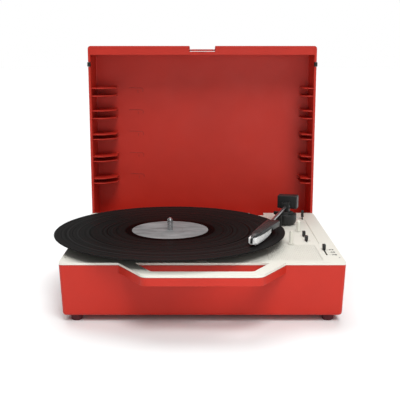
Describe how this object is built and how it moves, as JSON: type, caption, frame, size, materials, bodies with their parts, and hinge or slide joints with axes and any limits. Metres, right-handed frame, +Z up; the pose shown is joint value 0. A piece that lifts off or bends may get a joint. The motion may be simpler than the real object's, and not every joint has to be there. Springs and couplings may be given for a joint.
{
  "type": "suitcase record player",
  "caption": "Portable record player in a two-part case: upright lid, cream deck with platter, long-playing record, tonearm, slide controls and a fixed front handle.",
  "frame": {"origin": "centre of the base's flat underside, a foot's height above the surface it stands on", "axes": "+X to the right seen from the front, +Y to the back, +Z up; the lid stands open"},
  "size_m": [0.3642, 0.3859, 0.3264],
  "materials": {
    "red_case": "fine moulded texture, satin",
    "cream_deck": "fine moulded texture, satin",
    "black_plastic": "semi-gloss",
    "white_plastic": "semi-gloss",
    "line_red": "semi-gloss",
    "black_metal": "black enamel, semi-gloss",
    "black_rubber": "matte",
    "foot_rubber": "matte dark red",
    "vinyl": "grooved, glossy",
    "label_paper": "matte printed paper",
    "felt": "short-pile felt",
    "bright_steel": "bright, lightly brushed",
    "brass": "turned",
    "circuit_board": "solder-resist green",
    "cone_paper": "pressed paper"
  },
  "bodies": {
    "base": {"adaptor_peg": "cream_deck", "amplifier_board": "circuit_board", "arm_pedestal": "black_plastic", "arm_rest": "cream_deck", "base_shell": "red_case", "case_screw_1": "bright_steel", "case_screw_2": "bright_steel", "case_screw_3": "bright_steel", "case_screw_4": "bright_steel", "control_board": "circuit_board", "deck_plate": "cream_deck", "drive_belt": "black_rubber", "foot_front_left": "foot_rubber", "foot_front_right": "foot_rubber", "foot_rear_left": "foot_rubber", "foot_rear_right": "foot_rubber", "headphone_jack": "black_plastic", "hinge_bracket_left": "bright_steel", "hinge_bracket_right": "bright_steel", "hinge_pin_left": "bright_steel", "hinge_pin_right": "bright_steel", "line_out_left": "white_plastic", "line_out_right": "line_red", "motor": "bright_steel", "power_inlet": "black_plastic", "speaker_cone": "cone_paper", "speaker_frame": "bright_steel", "speaker_grille": "cream_deck", "spindle_bearing": "brass"},
    "lid": {"lid_shell": "red_case", "lid_bumper_left": "black_rubber", "lid_bumper_right": "black_rubber", "hinge_arm_left": "bright_steel", "hinge_arm_right": "bright_steel"},
    "latch": {"latch_tab": "red_case"},
    "turntable": {"platter": "black_plastic", "slip_mat": "felt", "spindle": "bright_steel", "record_disc": "vinyl", "record_label": "label_paper"},
    "pulley": {"motor_pulley": "brass"},
    "arm_turret": {"arm_yoke": "black_plastic"},
    "tonearm": {"arm_neck": "black_plastic", "arm_pivot_pin": "bright_steel", "counterweight": "black_metal", "arm_tube": "bright_steel", "headshell": "black_plastic", "cartridge": "white_plastic", "stylus": "bright_steel"},
    "cue_bar": {"cue_lift": "black_plastic"},
    "cue_handle": {"cue_lever": "black_plastic"},
    "volume": {"volume_knob": "black_plastic"},
    "auto_stop": {"auto_stop_knob": "black_plastic"},
    "speed": {"speed_knob": "black_plastic"}
  },
  "joints": [
    {"name": "lid_hinge", "type": "hinge", "parent": "base", "child": "lid", "pos_m": [0, 0.128, 0.0504], "axis": [1, 0, 0], "range_deg": [0, 77.5]},
    {"name": "latch_hinge", "type": "hinge", "parent": "lid", "child": "latch", "pos_m": [0, 0.1652, 0.3122], "axis": [-1, 0, 0], "range_deg": [0, 30], "stiffness_Nm_per_rad": 0.01},
    {"name": "platter_spin", "type": "hinge", "parent": "base", "child": "turntable", "pos_m": [-0.0424, -0.029, 0.0665], "axis": [0, 0, -1], "continuous": true},
    {"name": "pulley_spin", "type": "hinge", "parent": "base", "child": "pulley", "pos_m": [-0.1018, 0.0304, 0.0665], "axis": [0, 0, -1], "continuous": true},
    {"name": "arm_swing", "type": "hinge", "parent": "base", "child": "arm_turret", "pos_m": [0.1195, 0.063, 0.0925], "axis": [0, 0, -1], "range_deg": [-15, 25]},
    {"name": "arm_lift", "type": "hinge", "parent": "arm_turret", "child": "tonearm", "pos_m": [0.1195, 0.063, 0.0925], "axis": [-0.9563, 0.2924, 0], "range_deg": [0, 10]},
    {"name": "cue_lift_rise", "type": "slide", "parent": "base", "child": "cue_bar", "axis": [0, 0, 1], "range_m": [0, 0.0042]},
    {"name": "cue_lever_turn", "type": "hinge", "parent": "base", "child": "cue_handle", "pos_m": [0.148, 0.097, 0.0665], "axis": [-1, 0, 0], "range_deg": [0, 40]},
    {"name": "volume_slide", "type": "slide", "parent": "base", "child": "volume", "axis": [0, -1, 0], "range_m": [-0.004, 0.004]},
    {"name": "auto_stop_slide", "type": "slide", "parent": "base", "child": "auto_stop", "axis": [0, -1, 0], "range_m": [0, 0.005]},
    {"name": "speed_slide", "type": "slide", "parent": "base", "child": "speed", "axis": [0, -1, 0], "range_m": [0, 0.024]}
  ],
  "couplings": [
    {"joint": "pulley_spin", "follows": "platter_spin", "ratio": 16},
    {"joint": "cue_lift_rise", "follows": "arm_lift", "m_per_rad": 0.0235},
    {"joint": "cue_lever_turn", "follows": "arm_lift", "ratio": 4}
  ]
}
